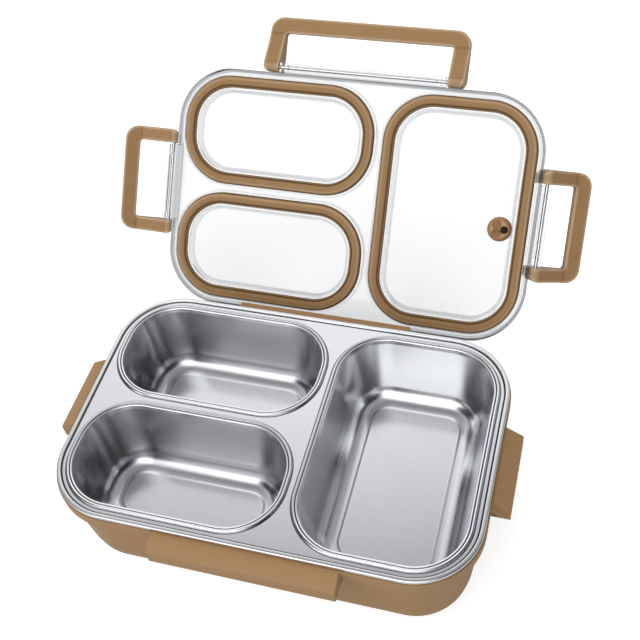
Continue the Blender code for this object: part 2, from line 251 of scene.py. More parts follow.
def fill(bm, loops):
    edges = []
    for ring in loops:
        for i in range(len(ring)):
            a, b = ring[i], ring[(i + 1) % len(ring)]
            edges.append(bm.edges.get((a, b)) or bm.edges.new((a, b)))
    bmesh.ops.triangle_fill(bm, use_beauty=True, use_dissolve=False, edges=edges)


def make(name, bm, place, body, mat, nodes, sharp=40.0, weighted=True):
    """Turns a bmesh in millimetres into a smooth-shaded piece that rides on a body and stands for its CAD nodes."""
    bmesh.ops.recalc_face_normals(bm, faces=bm.faces[:])
    mesh = bpy.data.meshes.new(name)
    bm.to_mesh(mesh)
    bm.free()
    return place_mesh(name, mesh, place, body, mat, nodes, sharp, weighted)


def place_mesh(name, mesh, place, body, mat, nodes, sharp=40.0, weighted=True):
    piece = bpy.data.objects.new(name, mesh)
    bpy.context.scene.collection.objects.link(piece)
    mesh.transform(place)
    mesh.materials.clear()
    mesh.materials.append(mat)
    mesh.shade_smooth()
    mesh.set_sharp_from_angle(angle=math.radians(sharp))
    if weighted:
        even = piece.modifiers.new("normals", "WEIGHTED_NORMAL")
        even.keep_sharp = True
        even.weight = 100
    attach(piece, body)
    if nodes:
        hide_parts(*nodes)
    return piece


def prism(points, axis, low, high):
    bm = bmesh.new()

    def at(p, q, t):
        return Vector((t, p, q)) if axis == "X" else Vector((p, t, q))

    ends = [[bm.verts.new(at(p, q, t)) for p, q in points] for t in (low, high)]
    bridge(bm, ends)
    bm.faces.new(ends[0])
    bm.faces.new(ends[1])
    bmesh.ops.recalc_face_normals(bm, faces=bm.faces[:])
    mesh = bpy.data.meshes.new("prism")
    bm.to_mesh(mesh)
    bm.free()
    return mesh


def arc(cx, cy, r, start, end, n):
    return [(cx + r * math.cos(math.radians(start + (end - start) * i / n)), cy + r * math.sin(math.radians(start + (end - start) * i / n))) for i in range(n + 1)]


def sculpt(host_mesh, tools, voxel, rounds, factor=0.5):
    """Joins and cuts blocks, then gives the result the even soft edges of a moulding."""
    host = bpy.data.objects.new("host", host_mesh)
    bpy.context.scene.collection.objects.link(host)
    helpers = []
    for mesh, operation in tools:
        helper = bpy.data.objects.new("tool", mesh)
        bpy.context.scene.collection.objects.link(helper)
        helpers.append(helper)
        step = host.modifiers.new("b", "BOOLEAN")
        step.operation, step.solver, step.object = operation, "EXACT", helper
    remesh = host.modifiers.new("r", "REMESH")
    remesh.mode, remesh.voxel_size, remesh.adaptivity = "VOXEL", voxel, 0.0
    soft = host.modifiers.new("s", "SMOOTH")
    soft.factor, soft.iterations = factor, rounds
    bpy.context.view_layer.update()
    mesh = bpy.data.meshes.new_from_object(host.evaluated_get(bpy.context.evaluated_depsgraph_get()))
    for obj in [host, *helpers]:
        bpy.data.objects.remove(obj, do_unlink=True)
    # painted highlight on the rounded edges and painted shade in the hollows
    mark_edges(mesh, 10.5)
    return mesh


# ------------------------------------------------------------------ materials
def shader(name):
    mat = bpy.data.materials.new(name)
    mat.use_nodes = True
    tree = mat.node_tree
    return mat, tree, tree.nodes["Principled BSDF"], tree.nodes["Material Output"]


def noise(tree, vector, scale, detail=2.0, rough=0.5):
    made = tree.nodes.new("ShaderNodeTexNoise")
    made.inputs["Scale"].default_value = scale
    made.inputs["Detail"].default_value = detail
    made.inputs["Roughness"].default_value = rough
    tree.links.new(vector, made.inputs["Vector"])
    return made.outputs["Fac"]


def stretched(tree, vector, scale):
    made = tree.nodes.new("ShaderNodeMapping")
    made.inputs["Scale"].default_value = scale
    tree.links.new(vector, made.inputs["Vector"])
    return made.outputs["Vector"]


def spread(tree, value, low, high, low_in=0.25, high_in=0.75):
    made = tree.nodes.new("ShaderNodeMapRange")
    made.inputs["From Min"].default_value = low_in
    made.inputs["From Max"].default_value = high_in
    made.inputs["To Min"].default_value = low
    made.inputs["To Max"].default_value = high
    tree.links.new(value, made.inputs["Value"])
    return made.outputs["Result"]


def mark(tree, name):
    made = tree.nodes.new("ShaderNodeAttribute")
    made.attribute_name = name
    return made.outputs["Fac"]


def bump(tree, height, strength, distance, before=None):
    made = tree.nodes.new("ShaderNodeBump")
    made.inputs["Strength"].default_value = strength
    made.inputs["Distance"].default_value = distance
    tree.links.new(height, made.inputs["Height"])
    if before is not None:
        tree.links.new(before, made.inputs["Normal"])
    return made.outputs["Normal"]


def mix_colour(tree, fac, a, b):
    made = tree.nodes.new("ShaderNodeMix")
    made.data_type = "RGBA"
    tree.links.new(fac, made.inputs["Factor"])
    for socket, value in ((made.inputs["A"], a), (made.inputs["B"], b)):
        if isinstance(value, tuple):
            socket.default_value = (*value, 1.0)
        else:
            tree.links.new(value, socket)
    return made.outputs["Result"]


def plastic(name, colour, light, dark, rough, grain, grain_size):
    """Moulded satin plastic: slight clouding of the pigment, a fine sparked grain, a painted highlight on rounded edges
    and painted shade in creases.
    """
    mat, tree, principled, _ = shader(name)
    place = tree.nodes.new("ShaderNodeTexCoord").outputs["Object"]
    cloud = noise(tree, place, 22.0, 3.0, 0.55)
    flow = noise(tree, stretched(tree, place, (12.0, 90.0, 60.0)), 1.0, 2.0)
    speck = noise(tree, place, 1 / grain_size, 2.0, 0.6)
    base = mix_colour(tree, spread(tree, cloud, 0.0, 1.0), dark, colour)
    base = mix_colour(tree, spread(tree, flow, 0.0, 0.05, 0.4, 0.8), base, light)
    # painted highlight: the edge mark lightens the colour; painted shade: the crease mark darkens it to a dark brown
    base = mix_colour(tree, spread(tree, mark(tree, "edge"), 0.0, 0.75, 0.0, 1.0), base, light)
    base = mix_colour(tree, spread(tree, mark(tree, "crease"), 0.0, 0.85, 0.0, 1.0), base, tuple(c * 0.3 for c in dark))
    tree.links.new(base, principled.inputs["Base Color"])
    tree.links.new(spread(tree, cloud, rough - 0.04, rough + 0.05), principled.inputs["Roughness"])
    principled.inputs["Specular IOR Level"].default_value = 0.10
    fine = bump(tree, speck, grain, 0.00012)
    tree.links.new(bump(tree, cloud, 0.05, 0.0006, fine), principled.inputs["Normal"])
    return mat


def silicone(name, colour, light, dark, rough):
    mat, tree, principled, _ = shader(name)
    place = tree.nodes.new("ShaderNodeTexCoord").outputs["Object"]
    cloud = noise(tree, place, 45.0, 2.0)
    dust = noise(tree, place, 2600.0, 3.0, 0.65)
    base = mix_colour(tree, spread(tree, cloud, 0.0, 1.0), dark, colour)
    base = mix_colour(tree, spread(tree, dust, 0.0, 0.3, 0.55, 0.75), base, light)
    # painted highlight from the edge mark and painted shade from the crease mark
    base = mix_colour(tree, spread(tree, mark(tree, "edge"), 0.0, 0.8, 0.0, 1.0), base, light)
    base = mix_colour(tree, spread(tree, mark(tree, "crease"), 0.0, 0.95, 0.0, 1.0), base, tuple(c * 0.12 for c in dark))
    tree.links.new(base, principled.inputs["Base Color"])
    tree.links.new(spread(tree, dust, rough - 0.06, rough + 0.08), principled.inputs["Roughness"])
    principled.inputs["Subsurface Weight"].default_value = 0.12
    principled.inputs["Subsurface Radius"].default_value = (0.0012, 0.0007, 0.0004)
    principled.inputs["Specular IOR Level"].default_value = 0.15
    tree.links.new(bump(tree, dust, 0.05, 0.0001), principled.inputs["Normal"])
    return mat


def facing_way(tree, normal, way, low, high):
    dot = tree.nodes.new("ShaderNodeVectorMath")
    dot.operation = "DOT_PRODUCT"
    dot.inputs[1].default_value = Vector(way).normalized()
    tree.links.new(normal, dot.inputs[0])
    made = tree.nodes.new("ShaderNodeMapRange")
    made.interpolation_type = "SMOOTHSTEP"
    made.inputs["From Min"].default_value, made.inputs["From Max"].default_value = low, high
    tree.links.new(dot.outputs["Value"], made.inputs["Value"])
    return made.outputs["Result"]


def steel(name, colour, rough, flat, along, brush):
    """Stainless sheet: fine brushing along one direction, faint drawing marks and clouded roughness."""
    mat, tree, principled, _ = shader(name)
    place = tree.nodes.new("ShaderNodeTexCoord").outputs["Object"]
    scratch = noise(tree, stretched(tree, place, along), 1.0, 3.0, 0.7)
    satin = noise(tree, place, 2400.0, 2.0, 0.6)
    cloud = noise(tree, place, 30.0, 2.0)
    base = mix_colour(tree, spread(tree, scratch, 0.0, 1.0, 0.3, 0.7), tuple(c * 0.95 for c in colour), colour)
    base = mix_colour(tree, spread(tree, satin, 0.0, 0.25, 0.4, 0.7), base, tuple(min(1.0, c * 1.05) for c in colour))
    shape = tree.nodes.new("ShaderNodeNewGeometry")
    # painted highlight: the edge mark turns the sheet near-white; painted shade: the crease mark turns it near-black
    base = mix_colour(tree, spread(tree, mark(tree, "edge"), 0.0, 1.0, 0.0, 1.0), base, (0.93, 0.93, 0.94))
    base = mix_colour(tree, spread(tree, mark(tree, "crease"), 0.0, 0.97, 0.0, 1.0), base, tuple(c * 0.03 for c in colour))
    tree.links.new(base, principled.inputs["Base Color"])
    principled.inputs["Metallic"].default_value = 1.0
    principled.inputs["Anisotropic"].default_value = 0.35
    drawn = tree.nodes.new("ShaderNodeCombineXYZ")
    drawn.inputs["X"].default_value, drawn.inputs["Z"].default_value = 0.08, 1.0
    tree.links.new(drawn.outputs["Vector"], principled.inputs["Tangent"])
    apart = tree.nodes.new("ShaderNodeSeparateXYZ")
    tree.links.new(shape.outputs["Normal"], apart.inputs["Vector"])
    level = spread(tree, apart.outputs["Z"], 0.0, flat - rough, 0.93, 0.995)
    total = tree.nodes.new("ShaderNodeMath")
    tree.links.new(level, total.inputs[0])
    tree.links.new(spread(tree, cloud, rough - 0.01, rough + 0.012), total.inputs[1])
    tree.links.new(total.outputs["Value"], principled.inputs["Roughness"])
    lines = bump(tree, scratch, brush, 0.000012)
    tree.links.new(bump(tree, satin, brush, 0.000006, lines), principled.inputs["Normal"])
    return mat


def clear(name):
    """Clear moulded plastic that lets lamps through, with a little surface waviness."""
    mat, tree, principled, output = shader(name)
    place = tree.nodes.new("ShaderNodeTexCoord").outputs["Object"]
    wave = noise(tree, place, 18.0, 1.0)
    haze = noise(tree, place, 900.0, 2.0)
    facing = tree.nodes.new("ShaderNodeLayerWeight")
    facing.inputs["Blend"].default_value = 0.35
    base = mix_colour(tree, spread(tree, facing.outputs["Facing"], 0.0, 1.0, 0.45, 0.95), (0.965, 0.967, 0.972), (0.5, 0.51, 0.54))
    # painted shade: the crease mark tints the clear plastic dark grey along its edges and channels
    base = mix_colour(tree, spread(tree, mark(tree, "crease"), 0.0, 1.0, 0.0, 1.0), base, (0.20, 0.21, 0.235))
    tree.links.new(base, principled.inputs["Base Color"])
    principled.inputs["Transmission Weight"].default_value = 1.0
    principled.inputs["IOR"].default_value = 1.32
    tree.links.new(spread(tree, haze, 0.0, 0.015), principled.inputs["Roughness"])
    tree.links.new(bump(tree, wave, 0.03, 0.0006), principled.inputs["Normal"])
    through = tree.nodes.new("ShaderNodeBsdfTransparent")
    through.inputs["Color"].default_value = (0.93, 0.935, 0.94, 1.0)
    ray = tree.nodes.new("ShaderNodeLightPath").outputs["Is Shadow Ray"]
    both = tree.nodes.new("ShaderNodeMixShader")
    tree.links.new(ray, both.inputs["Fac"])
    tree.links.new(principled.outputs["BSDF"], both.inputs[1])
    tree.links.new(through.outputs["BSDF"], both.inputs[2])
    tree.links.new(both.outputs["Shader"], output.inputs["Surface"])
    return mat


# TAN_LIGHT colours the pale moulding streaks and is also the painted highlight colour on edges
TAN, TAN_LIGHT, TAN_DARK = (0.342, 0.204, 0.096), (0.550, 0.410, 0.272), (0.326, 0.194, 0.090)
BASE_MAT = plastic("tan_moulded_base", TAN, TAN_LIGHT, TAN_DARK, 0.44, 0.22, 0.00055)
LATCH_MAT = plastic("tan_moulded_latch", (0.338, 0.201, 0.095), TAN_LIGHT, (0.318, 0.188, 0.087), 0.38, 0.16, 0.00045)
SEAL_MAT = silicone("tan_silicone_ring", (0.326, 0.192, 0.089), (0.540, 0.400, 0.260), (0.302, 0.176, 0.080), 0.46)
VENT_MAT = silicone("tan_silicone_plug", (0.345, 0.200, 0.094), (0.560, 0.400, 0.250), (0.300, 0.170, 0.078), 0.44)
TRAY_MAT = steel("drawn_stainless_sheet", (0.765, 0.772, 0.788), 0.25, 0.17, (90.0, 2600.0, 2600.0), 0.10)
PIN_MAT = steel("steel_wire", (0.60, 0.60, 0.62), 0.25, 0.25, (90.0, 2600.0, 2600.0), 0.3)
CLEAR_MAT = clear("clear_moulded_plastic")


# ------------------------------------------------------------------ tray
def cells():
    left, right, top = -TX + BEAD_GAP, TX - BEAD_GAP, TY - BEAD_GAP
    a, b = SPLIT_X - BEAD_SPACE / 2, SPLIT_X + BEAD_SPACE / 2
    hx, cx = (a - left) / 2, (a + left) / 2
    hy = (top - BEAD_SPACE / 2) / 2
    cy = BEAD_SPACE / 2 + hy
    return {"large": ((right - b) / 2, top, (right + b) / 2, 0.0), "rear": (hx, hy, cx, cy), "front": (hx, hy, cx, -cy)}


CELLS = cells()


def tray():
    bm = bmesh.new()
    outer = loop(TX, TY, TR, k=28)
    rim_top = fillets([(-0.75, -1.0), (-0.75, -1.6, 0.15), (0.0, -1.6, 0.25), (0.0, 0.95, 1.7), (-2.15, 0.95, 0.45), (-2.5, -0.38, 0.15), (-2.8, -0.38, 0.1), (-3.05, 0.0, 0.12), (-3.4, 0.0)], 8)
    rim_under = fillets([(-0.75, -1.0), (-1.6, -0.4, 0.3), (-2.3, -0.95, 0.2), (-3.2, -0.95, 0.15), (-3.5, -0.68)], 4)
    rim_top = dense(rim_top, 0.3)
    # painted shade in the rim groove and under the roll, painted highlight on top of the roll
    painted_light = painted_shade_and_highlight_near(rim_top, [(-2.65, -0.38, 0.42, 1.0), (-0.1, -1.7, 0.45, 0.9)], [(-2.0, 0.95, 0.35, 1.0)])
    top_rows = add_rings(bm, rings_of(outer, TR, lambda side, t: rim_top), painted_light)
    under_rows = add_rings(bm, rings_of(outer, TR, lambda side, t: rim_under)[1:])
    bridge(bm, top_rows)
    bridge(bm, [top_rows[0], *under_rows])
    lip = fillets([(0.55, 0.0), (0.02, 0.0, 0.05), (-0.2, -0.14, 0.08), (-0.7, 1.0, 0.3), (-1.3, 1.3, 0.5), (-2.0, 1.15, 0.2), (-2.28, 0.62, 0.08), (-2.45, 0.62, 0.06), (-2.72, 1.05, 0.2), (-3.5, 0.95, 0.7), (-4.3, -1.4, 1.3), (-4.6, -3.2)], 7)
    bowl = turn_of((-4.6, -3.2), (-10.95, -39.5), (-27.0, -39.5), 9.2, 22)
    panel = fillets([(-19.1, -39.5), (-19.6, -39.5, 0.5), (-20.9, -39.25, 0.8), (-22.5, -39.25, 0.3), (-23.5, -39.25)], 6)
    bead = np.concatenate([dense(lip, 0.3), bowl, panel])
    # painted shade at the bead's feet and the bowl wall's foot, painted highlight on the bead crests and the floor
    # panel's edge
    bead_painted_light = painted_shade_and_highlight_near(bead, [(-0.2, -0.12, 0.26, 1.0), (-2.36, 0.62, 0.24, 1.0), (-9.6, -32.0, 1.8, 0.3)], [(-1.35, 1.25, 0.45, 0.9), (-3.3, 0.9, 0.45, 1.0), (-20.2, -39.35, 0.9, 0.75)])
    lip_under = fillets([(0.55, -0.68), (-3.0, -0.72, 0.4), (-3.75, -2.0, 1.0), (-4.3, -4.6)], 6)
    under = np.concatenate([lip_under, turn_of((-4.3, -4.6), (-10.4, -40.15), (-27.0, -40.15), 9.6, 16), fillets([(-19.4, -40.15), (-21.0, -40.1, 0.2), (-23.5, -40.1)], 4)])
    tops, unders = [], []
    for hx, hy, cx, cy in CELLS.values():
        around = loop(hx, hy, CELL_R, cx, cy, k=26)
        for profile, kept, painted_light in ((bead, tops, bead_painted_light), (under, unders, None)):
            rows = add_rings(bm, rings_of(around, CELL_R, lambda side, t, p=profile: p), painted_light)
            bridge(bm, rows)
            bm.faces.new(rows[-1])
            kept.append(rows[0])
    fill(bm, [top_rows[-1], *tops])
    fill(bm, [under_rows[-1], *unders])
    return make("tray_sheet", bm, BASE, "tray", TRAY_MAT, ["tray"], sharp=35.0)


# ------------------------------------------------------------------ base shell
def near(half, soft):
    """Stations along a side, close together where a ledge ends at +-half."""
    steps = [half + soft * u for u in (0.2, 0.08, 0.0, -0.12, -0.3, -0.5, -0.7, -0.88, -1.0, -1.1, -1.4)]
    return sorted({round(s * v, 4) for v in steps for s in (1, -1)})


def weight(t, half, soft):
    return smooth01((half - abs(t)) / soft)


WALL = [(-2.6, -1.95), (-0.6, -1.95, 0.2), (0.7, -1.95, 0.55), (0.7, -7.2, 0.05), (0.7, -8.0, 0.7), (-1.5, -8.25, 0.5), (-1.75, -9.8, 0.3), (-2.3, -15.8, 0.3), (-2.85, -21.6, 0.3), (-3.2, -25.2, 0.3), (-4.95, -43.6, 6.0), (-6.4, -51.4, 7.0), (-10.2, -57.3, 6.0), (-15.5, -59.0, 5.0), (-18.0, -59.0)]


def ledge(reach):
    return [(-2.6, -1.95), (2.3, -1.95, 0.3), (reach, -6.6, 0.75), (reach, -14.5, 0.05), (reach, -15.3, 0.7), (-2.26, -15.3, 0.5), (-2.36, -16.4, 0.3), (-2.55, -18.6, 0.3), (-2.85, -21.6, 0.3), *WALL[9:]]


BLOCK = [(-2.6, -1.95), (0.5, -1.95, 0.4), (1.2, -3.2, 0.4), (6.6, -3.2, 1.3), (6.6, -13.0, 0.05), (6.6, -21.6, 3.6), (-2.82, -21.6, 0.5), (-2.92, -22.6, 0.2), (-3.05, -23.8, 0.2), *WALL[9:]]


def base():
    soft, half_front, half_side, half_rear = 0.9, 48.3, 22.6, 50.0
    marks = {"front": near(half_front, soft), "rear": near(half_rear, 0.5), "left": near(half_side, soft), "right": near(half_side, soft)}
    shapes = {key: fillets(points, 6) for key, points in (("wall", WALL), ("front", ledge(9.5)), ("side", ledge(10.0)), ("rear", BLOCK))}

    def section(side, t):
        if side == "front":
            w, to = weight(t, half_front, soft), shapes["front"]
        elif side == "rear":
            w, to = weight(t, half_rear, 0.5), shapes["rear"]
        elif side in ("left", "right"):
            w, to = weight(t, half_side, soft), shapes["side"]
        else:
            return shapes["wall"]
        return shapes["wall"] * (1 - w) + to * w

    inner = fillets([(-2.6, -1.95), (-3.4, -2.6, 0.3), (-3.5, -9.0, 0.3), (-7.4, -43.8, 5.0), (-8.6, -50.0, 6.0), (-11.4, -54.8, 5.0), (-16.0, -56.6, 4.0), (-19.0, -56.6)], 6)
    around = loop(TX, TY, TR, k=30, marks=marks)
    bm = bmesh.new()
    # painted shade under the flange, painted highlight along the flange's lower edge
    outside = add_rings(bm, rings_of(around, TR, section), painted_shade_and_highlight_at_corners(len(WALL), 6, [(5, 0.85), (6, 0.3)], [(2, 0.1), (4, 0.6)]))
    inside = add_rings(bm, rings_of(around, TR, lambda side, t: inner)[1:])
    bridge(bm, outside)
    bridge(bm, [outside[0], *inside])
    bm.faces.new(outside[-1])
    bm.faces.new(inside[-1])
    return make("base_moulding", bm, BASE, "base", BASE_MAT, ["base_shell"], sharp=32.0)


# ------------------------------------------------------------------ clear lid
LID_WALL = [(-1.85, 7.5), (-1.5, 7.5, 0.25), (-1.5, 1.6, 0.35), (0.0, 1.6, 0.35), (0.0, 2.2, 0.1), (0.0, 2.7, 0.1), (0.0, 3.2, 0.1), (0.0, 3.7, 0.1), (0.0, 4.4, 0.1), (0.0, 5.3, 0.1), (0.0, 6.4, 0.1), (0.0, 7.2, 0.1), (0.0, 9.5, 1.4), (-2.6, 9.5)]
LUG = [(-1.85, 7.5), (-1.5, 7.5, 0.25), (-1.5, 1.6, 0.35), (0.3, 1.6, 0.1), (1.4, 1.6, 0.1), (2.6, 1.6, 0.1), (3.7, 1.6, 0.1), (4.5, 1.6, 0.1), (5.9, 1.6, 0.9), (5.9, 6.8, 1.2), (0.0, 6.8, 0.35), (0.0, 7.4, 0.1), (0.0, 9.5, 1.4), (-2.6, 9.5)]
LUG_SLOT = [(-1.85, 7.5), (-1.5, 7.5, 0.25), (-1.5, 1.6, 0.35), (0.3, 1.6, 0.1), (1.45, 1.6, 0.15), (1.7, 2.6, 0.25), (4.2, 2.6, 0.25), (4.45, 1.6, 0.15), (5.9, 1.6, 0.9), (5.9, 6.8, 1.2), (0.0, 6.8, 0.35), (0.0, 7.4, 0.1), (0.0, 9.5, 1.4), (-2.6, 9.5)]
CHANNEL = [(0.55, 7.5), (0.2, 7.5, 0.2), (0.2, 2.6, 0.35), (-1.0, 2.6, 0.25), (-1.0, 7.1, 0.2), (-8.4, 7.1, 0.2), (-8.4, 2.9, 0.25), (-9.3, 2.9, 0.45), (-9.9, 5.6, 0.3), (-10.5, 7.5, 0.8), (-11.6, 7.5, 0.05), (-14.5, 7.5)]


def lid():
    bm = bmesh.new()
    half_front, half_side, slot_in = FRONT[1] - 0.5, SIDE[1] - 0.5, 5.0
    marks = {}
    for side, half in (("front", half_front), ("rear", half_front), ("left", half_side), ("right", half_side)):
        marks[side] = sorted(set(near(half, 0.5)) | set(near(half - slot_in, 0.8)))
    plain, lug, slot = fillets(LID_WALL, 4), fillets(LUG, 4), fillets(LUG_SLOT, 4)

    def section(side, t):
        if side == "corner":
            return plain
        half = half_front if side in ("front", "rear") else half_side
        w, v = weight(t, half, 0.5), weight(t, half - slot_in, 0.8)
        return plain * (1 - w) + (lug * (1 - v) + slot * v) * w

    # painted shade: dark lines along the corners of the lid's wall
    rows = add_rings(bm, rings_of(loop(LX, LY, LR, k=30, marks=marks), LR, section), painted_shade_and_highlight_at_corners(len(LID_WALL), 4, [(1, 0.7), (2, 0.9), (3, 0.8), (12, 0.7)]))
    bridge(bm, rows)
    profile = fillets(CHANNEL, 5)
    islands, ceilings = [], {}
    for key, (hx, hy, cx, cy) in CELLS.items():
        # painted shade along the channels round the windows
        wells = add_rings(bm, rings_of(loop(hx, hy, CELL_R, cx, cy, k=26), CELL_R, lambda side, t: profile), painted_shade_and_highlight_at_corners(len(CHANNEL), 5, [(1, 0.4), (2, 0.25), (3, 0.3), (7, 0.35), (8, 0.3), (9, 0.55)]))
        bridge(bm, wells)
        islands.append(wells[0])
        ceilings[key] = wells[-1]
        if key != "large":
            bm.faces.new(wells[-1])
    hole = [[(VENT[0] + r * math.cos(2 * math.pi * i / 40), VENT[1] + r * math.sin(2 * math.pi * i / 40), z) for i in range(40)] for r, z in ((3.9, 7.5), (3.6, 7.75), (3.6, 9.25), (3.9, 9.5))]
    hole = add_rings(bm, hole)
    bridge(bm, hole)
    fill(bm, [ceilings["large"], hole[0]])
    fill(bm, [rows[0], *islands])
    fill(bm, [rows[-1], hole[-1]])
    return make("lid_clear", bm, LID, "lid", CLEAR_MAT, ["lid_shell"], sharp=30.0)


# ------------------------------------------------------------------ seals
def seal(key):
    hx, hy, cx, cy = CELLS[key]
    shape = fillets([(-4.7, 6.9), (-1.3, 6.9, 0.3), (-1.3, 3.6, 0.9), (-2.3, 2.1, 1.3), (-4.3, 1.72, 2.0), (-6.2, 2.0, 1.0), (-6.7, 2.75, 0.2), (-7.2, 2.75, 0.2), (-7.6, 2.55, 0.2), (-8.05, 3.2, 0.3), (-8.05, 6.9, 0.3), (-4.9, 6.9)], 7)
    bm = bmesh.new()
    # painted shade in the seal's groove and along its sides, painted highlight along the outer crown
    painted_light = painted_shade_and_highlight_near(shape, [(-6.95, 2.8, 0.45, 1.0), (-8.05, 3.6, 0.7, 0.7), (-1.3, 3.6, 0.9, 0.8)], [(-2.9, 1.95, 0.5, 0.6)])
    rows = add_rings(bm, rings_of(loop(hx, hy, CELL_R, cx, cy, k=32), CELL_R, lambda side, t: shape), painted_light)
    bridge(bm, [*rows, rows[0]])
    return make("seal_ring_" + key, bm, LID, "lid", SEAL_MAT, ["seal_" + key], sharp=50.0)


# ------------------------------------------------------------------ vent plug
def vent():
    """Round head with three thumb dimples that leave a Y between them, one of them opening into the vent hole."""
    turns, steps = 96, 44
    bm = bmesh.new()
    roof, deep = 7.25, 4.95
    # Per point: painted shade in the vent hole and the dimples, and painted highlight along the Y ridges between them.
    rows, dark, painted_ridge_highlight = [], [], []
    for j in range(1, steps + 1):
        u = j / steps  # 0 at the pole, 1 at the roof
        a = u * math.pi / 2
        r = 7.0 * math.sin(a) ** 0.92
        z = roof - deep * math.cos(a) ** 0.9 if j < steps else roof
        row = []
        for i in range(turns):
            turn = 2 * math.pi * i / turns
            x, y = r * math.cos(turn), r * math.sin(turn)
            dent = painted_hole_shade = 0.0
            for k, (depth, size) in enumerate(((3.4, 2.1), (1.9, 3.0), (1.9, 3.0))):
                b = 2 * math.pi * k / 3
                gap = math.hypot(x - 2.85 * math.cos(b), y - 2.85 * math.sin(b))
                painted_hole_shade = max(painted_hole_shade, smooth01((size + 0.1 - gap) / 0.5) * (1.0 if k == 0 else 0.22))
                dent = max(dent, depth * smooth01((size + 0.25 - gap) / 0.6) if k == 0 else depth * max(0.0, 1 - (gap / size) ** 2))
            row.append((x, y, min(z + dent, roof - 0.4) if j < steps - 2 else z))
            dark.append(painted_hole_shade)
            painted_ridge_highlight.append(0.7 * smooth01(1 - dent / 0.7) * smooth01((5.4 - r) / 0.8))
        rows.append(row)
    rows = add_rings(bm, rows)
    crease, edge = bm.verts.layers.float.get("crease"), bm.verts.layers.float.get("edge")
    # crease takes the painted shade, edge the painted highlight
    for v, low, high in zip([v for row in rows for v in row], dark, painted_ridge_highlight):
        v[crease], v[edge] = low, high
    tip = bm.verts.new((0, 0, roof - deep))
    for i in range(turns):
        bm.faces.new((tip, rows[0][i], rows[0][(i + 1) % turns]))
    neck = fillets([(6.6, roof + 0.0), (6.55, roof, 0.02), (3.3, roof, 0.3), (3.3, 9.7, 0.2), (4.3, 10.1, 0.3), (4.1, 10.9, 0.4), (2.0, 11.05, 0.3), (1.4, 11.05)], 5)[4:]
    neck = add_rings(bm, [[(r * math.cos(2 * math.pi * i / turns), r * math.sin(2 * math.pi * i / turns), z) for i in range(turns)] for r, z in neck])
    bridge(bm, [*rows, *neck])
    bm.faces.new(neck[-1])
    bmesh.ops.translate(bm, verts=bm.verts[:], vec=Vector((VENT[0], VENT[1], 0)))
    return make("vent_plug_soft", bm, LID, "vent_plug", VENT_MAT, ["vent_plug"], sharp=60.0)


# ------------------------------------------------------------------ latches
PLATE_IN, PLATE_OUT, PLATE_UP, BAR_TOP, BAR_FOOT = 6.6, 12.1, 3.5, -20.0, -29.0


def latch_mesh(half, window, voxel):
    """A C of bar and two arms. The arms slope from the bar to the eyes round the rod, and every corner is rounded."""
    foot, head = 8.0, 5.0
    low = [*arc(-half + foot, BAR_FOOT + foot, foot, 180, 270, 16), *arc(half - foot, BAR_FOOT + foot, foot, 270, 360, 16)]
    inside = [(window, BAR_TOP + 2.4), *arc(window - 1.4, BAR_TOP + 1.4, 1.4, 0, -90, 6), *arc(-window + 1.4, BAR_TOP + 1.4, 1.4, 270, 180, 6), (-window, BAR_TOP + 2.4)]
    bar = prism([*low, (half, BAR_TOP + 2.4), *inside, (-half, BAR_TOP + 2.4)], "Y", -PLATE_OUT, -PLATE_IN)
    side = [*[(-o, z) for o, z in arc(0, 0, 3.0, 235, 60, 16)], (-3.6, 0.9), (-6.4, 0.9), (-8.9, PLATE_UP), (-PLATE_OUT + 1.2, PLATE_UP), (-PLATE_OUT, PLATE_UP - 1.2), (-PLATE_OUT, BAR_TOP + 0.4), (-PLATE_IN, BAR_TOP + 0.4)]
    tools = [(prism(side, "X", window, half), "UNION"), (prism(side, "X", -half, -window), "UNION")]
    rounded = [*low, *arc(half - head, PLATE_UP - head, head, 0, 90, 12), *arc(-half + head, PLATE_UP - head, head, 90, 180, 12)]
    tools.append((prism(rounded, "Y", -PLATE_OUT - 1, 4.0), "INTERSECT"))
    return sculpt(bar, tools, voxel, 12)


def latch(key, half, window, edge, about):
    flare = Matrix.Rotation(-math.radians(body_turn(key + "_latch_swing")), 4, "X")
    away = (Vector((math.sin(about), -math.cos(about), 0)) * (edge + PIVOT_OUT)) + Vector((0, 0, PIVOT_Z))
    place = LID @ Matrix.Translation(away) @ Matrix.Rotation(about, 4, "Z")
    voxel = 0.42
    place_mesh("latch_clip_" + key, latch_mesh(half, window, voxel), place @ flare, "latch_" + key, LATCH_MAT, ["latch_" + key], sharp=180.0, weighted=False)
    wire("wire_" + key, 1.1, half - 1.3, place, "lid", "rod_" + key)


def wire(name, radius, half, place, body, cad):
    sides = 32
    shape = fillets([(0.0, -half), (radius, -half, 0.25), (radius, half, 0.25), (0.0, half)], 4)[1:-1]
    bm = bmesh.new()
    rows = add_rings(bm, [[(x, r * math.cos(2 * math.pi * i / sides), r * math.sin(2 * math.pi * i / sides)) for i in range(sides)] for r, x in shape])
    bridge(bm, rows)
    bm.faces.new(rows[0])
    bm.faces.new(rows[-1])
    return make(name, bm, place, body, PIN_MAT, [cad], sharp=40.0)


